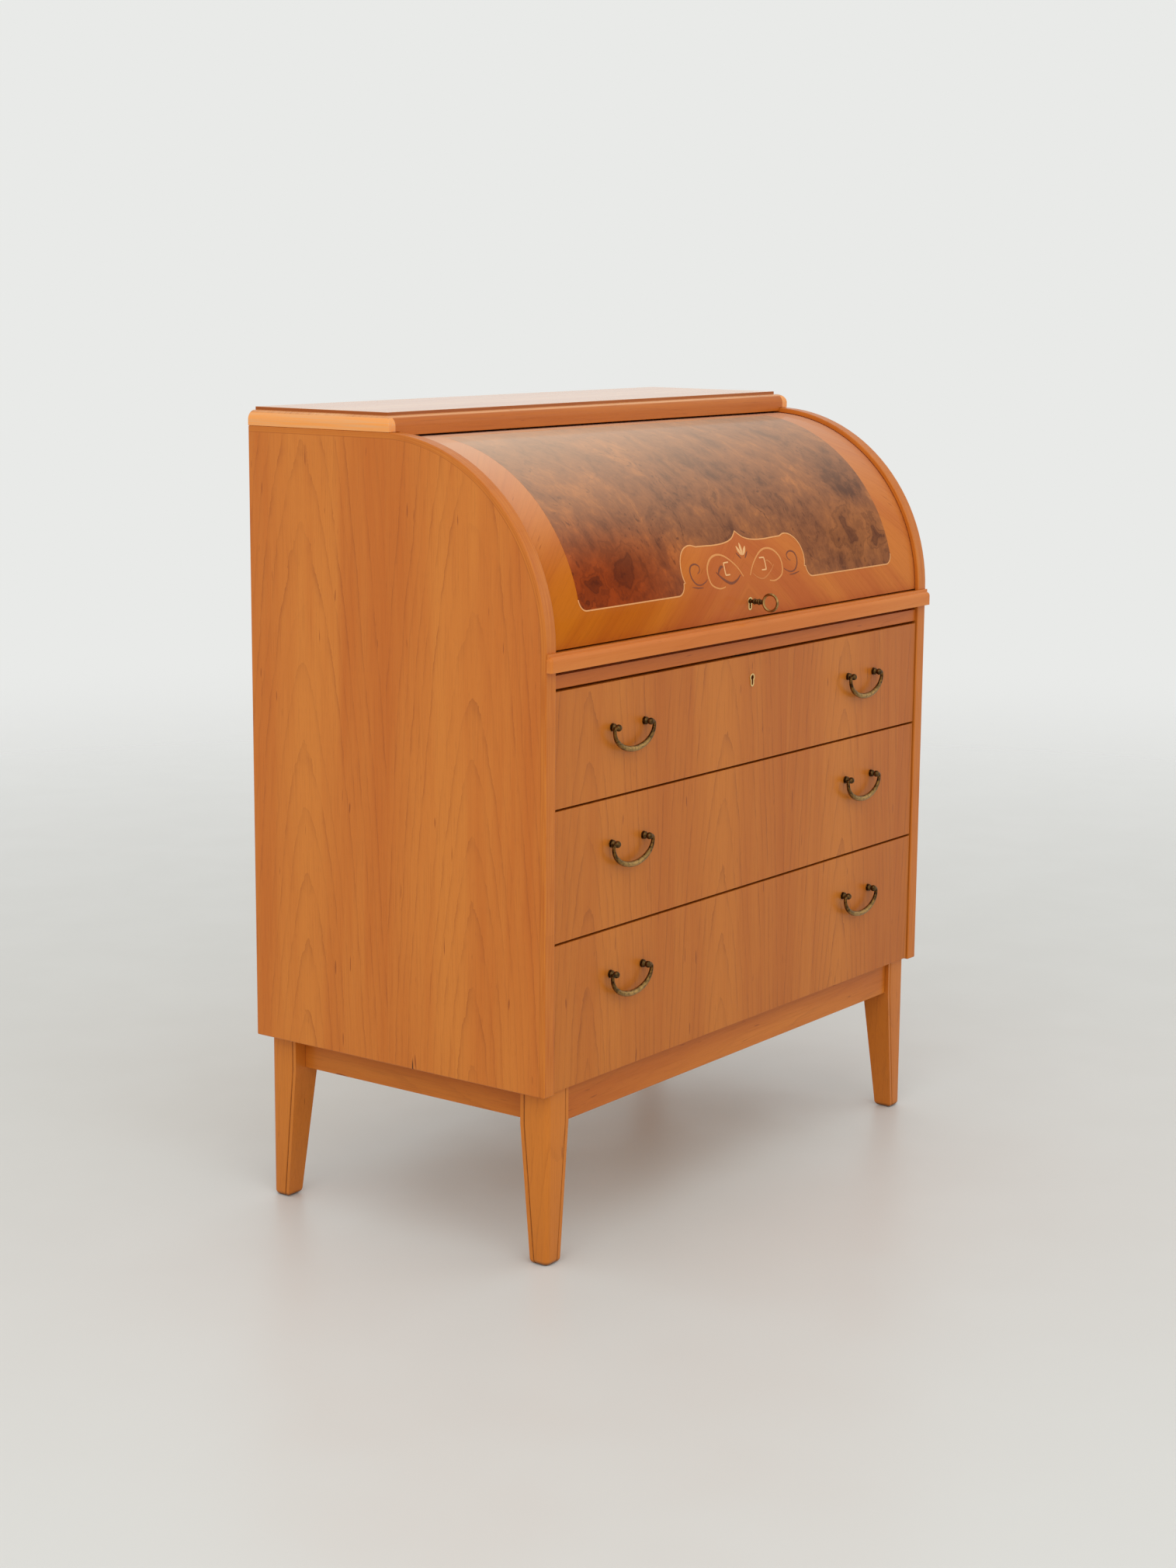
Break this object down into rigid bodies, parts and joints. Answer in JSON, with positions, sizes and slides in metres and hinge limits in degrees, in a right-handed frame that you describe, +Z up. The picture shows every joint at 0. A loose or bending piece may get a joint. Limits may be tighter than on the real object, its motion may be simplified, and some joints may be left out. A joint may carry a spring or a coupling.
{
  "type": "roll top secretary desk",
  "caption": "Cylinder-front secretary desk on tapered legs: a curved veneered lid rolls back as the writing slide pulls out, above graduated drawers with brass drop handles",
  "frame": {"origin": "middle of the bounding box at floor level", "axes": "+X to the desk's right as seen from the front, +Y to the back, +Z up"},
  "size_m": [0.89, 0.506, 1.03],
  "materials": {
    "case_veneer": "satin lacquer",
    "drawer_veneer": "satin lacquer",
    "lid_veneer": "satin lacquer",
    "solid_hardwood": "satin lacquer",
    "inner_veneer": "thin lacquer",
    "inner_hardwood": "bare planed",
    "plywood": "bare sanded",
    "antique_brass": "aged brown",
    "lock_metal": "dull steel"
  },
  "bodies": {
    "carcass": {"left_side_panel": "case_veneer", "right_side_panel": "case_veneer", "top_board": "case_veneer", "back_panel": "plywood", "bottom_board": "inner_hardwood", "desk_bed": "inner_hardwood", "front_rail": "solid_hardwood", "drawer_runners": "inner_hardwood", "cord_pegs": "lock_metal", "front_left_leg": "solid_hardwood", "front_right_leg": "solid_hardwood", "back_left_leg": "solid_hardwood", "back_right_leg": "solid_hardwood", "front_apron": "solid_hardwood", "back_apron": "solid_hardwood", "side_aprons": "solid_hardwood", "frame_blocks": "lock_metal", "interior_floor": "inner_veneer", "interior_roof": "inner_veneer", "interior_back": "inner_veneer", "interior_gables": "inner_veneer", "interior_partitions": "inner_veneer"},
    "writing_slide": {"writing_board": "inner_veneer", "slide_moulding": "solid_hardwood", "slide_cord_hooks": "lock_metal"},
    "lid": {"lid_panel": "lid_veneer", "lid_escutcheon": "antique_brass", "lid_lock_case": "lock_metal", "lid_cord_pins": "lock_metal"},
    "turning_key": {"key": "antique_brass"},
    "lid_bolt": {"lid_lock_bolt": "lock_metal"},
    "drawer_1": {"drawer_1_front": "drawer_veneer", "drawer_1_sides": "inner_hardwood", "drawer_1_back": "inner_hardwood", "drawer_1_bottom": "plywood", "drawer_1_handle_posts": "antique_brass", "drawer_escutcheon": "antique_brass", "drawer_lock_case": "lock_metal"},
    "drawer_1_left_handle": {"drawer_1_left_bail": "antique_brass"},
    "drawer_1_right_handle": {"drawer_1_right_bail": "antique_brass"},
    "drawer_2": {"drawer_2_front": "drawer_veneer", "drawer_2_sides": "inner_hardwood", "drawer_2_back": "inner_hardwood", "drawer_2_bottom": "plywood", "drawer_2_handle_posts": "antique_brass"},
    "drawer_2_left_handle": {"drawer_2_left_bail": "antique_brass"},
    "drawer_2_right_handle": {"drawer_2_right_bail": "antique_brass"},
    "drawer_3": {"drawer_3_front": "drawer_veneer", "drawer_3_sides": "inner_hardwood", "drawer_3_back": "inner_hardwood", "drawer_3_bottom": "plywood", "drawer_3_handle_posts": "antique_brass"},
    "drawer_3_left_handle": {"drawer_3_left_bail": "antique_brass"},
    "drawer_3_right_handle": {"drawer_3_right_bail": "antique_brass"},
    "small_drawer_left_box": {"small_drawer_left": "inner_veneer", "small_drawer_left_knob": "antique_brass"},
    "small_drawer_right_box": {"small_drawer_right": "inner_veneer", "small_drawer_right_knob": "antique_brass"}
  },
  "joints": [
    {"name": "writing_slide_pull", "type": "slide", "parent": "carcass", "child": "writing_slide", "axis": [0, -1, 0], "range_m": [0, 0.195]},
    {"name": "lid_roll", "type": "hinge", "parent": "carcass", "child": "lid", "pos_m": [0, 0.031, 0.759], "axis": [-1, 0, 0], "range_deg": [0, 60.1]},
    {"name": "key_turn", "type": "hinge", "parent": "lid", "child": "turning_key", "pos_m": [0, -0.21, 0.781], "axis": [0, 1, 0], "range_deg": [0, 90]},
    {"name": "lid_bolt_throw", "type": "slide", "parent": "lid", "child": "lid_bolt", "axis": [0, 0, -1], "range_m": [0, 0.0081]},
    {"name": "drawer_1_pull", "type": "slide", "parent": "carcass", "child": "drawer_1", "axis": [0, -1, 0], "range_m": [0, 0.33]},
    {"name": "drawer_1_left_bail_swing", "type": "hinge", "parent": "drawer_1", "child": "drawer_1_left_handle", "pos_m": [-0.275, -0.224, 0.6557], "axis": [-1, 0, 0], "range_deg": [-10, 95]},
    {"name": "drawer_1_right_bail_swing", "type": "hinge", "parent": "drawer_1", "child": "drawer_1_right_handle", "pos_m": [0.275, -0.224, 0.6557], "axis": [-1, 0, 0], "range_deg": [-10, 95]},
    {"name": "drawer_2_pull", "type": "slide", "parent": "carcass", "child": "drawer_2", "axis": [0, -1, 0], "range_m": [0, 0.33]},
    {"name": "drawer_2_left_bail_swing", "type": "hinge", "parent": "drawer_2", "child": "drawer_2_left_handle", "pos_m": [-0.275, -0.224, 0.5117], "axis": [-1, 0, 0], "range_deg": [-10, 95]},
    {"name": "drawer_2_right_bail_swing", "type": "hinge", "parent": "drawer_2", "child": "drawer_2_right_handle", "pos_m": [0.275, -0.224, 0.5117], "axis": [-1, 0, 0], "range_deg": [-10, 95]},
    {"name": "drawer_3_pull", "type": "slide", "parent": "carcass", "child": "drawer_3", "axis": [0, -1, 0], "range_m": [0, 0.33]},
    {"name": "drawer_3_left_bail_swing", "type": "hinge", "parent": "drawer_3", "child": "drawer_3_left_handle", "pos_m": [-0.275, -0.224, 0.3477], "axis": [-1, 0, 0], "range_deg": [-10, 95]},
    {"name": "drawer_3_right_bail_swing", "type": "hinge", "parent": "drawer_3", "child": "drawer_3_right_handle", "pos_m": [0.275, -0.224, 0.3477], "axis": [-1, 0, 0], "range_deg": [-10, 95]},
    {"name": "small_drawer_left_pull", "type": "slide", "parent": "carcass", "child": "small_drawer_left_box", "axis": [0, -1, 0], "range_m": [0, 0.12]},
    {"name": "small_drawer_right_pull", "type": "slide", "parent": "carcass", "child": "small_drawer_right_box", "axis": [0, -1, 0], "range_m": [0, 0.12]}
  ],
  "couplings": [
    {"joint": "lid_roll", "follows": "writing_slide_pull", "rad_per_m": 5.3702},
    {"joint": "lid_bolt_throw", "follows": "key_turn", "m_per_rad": 0.005093}
  ]
}
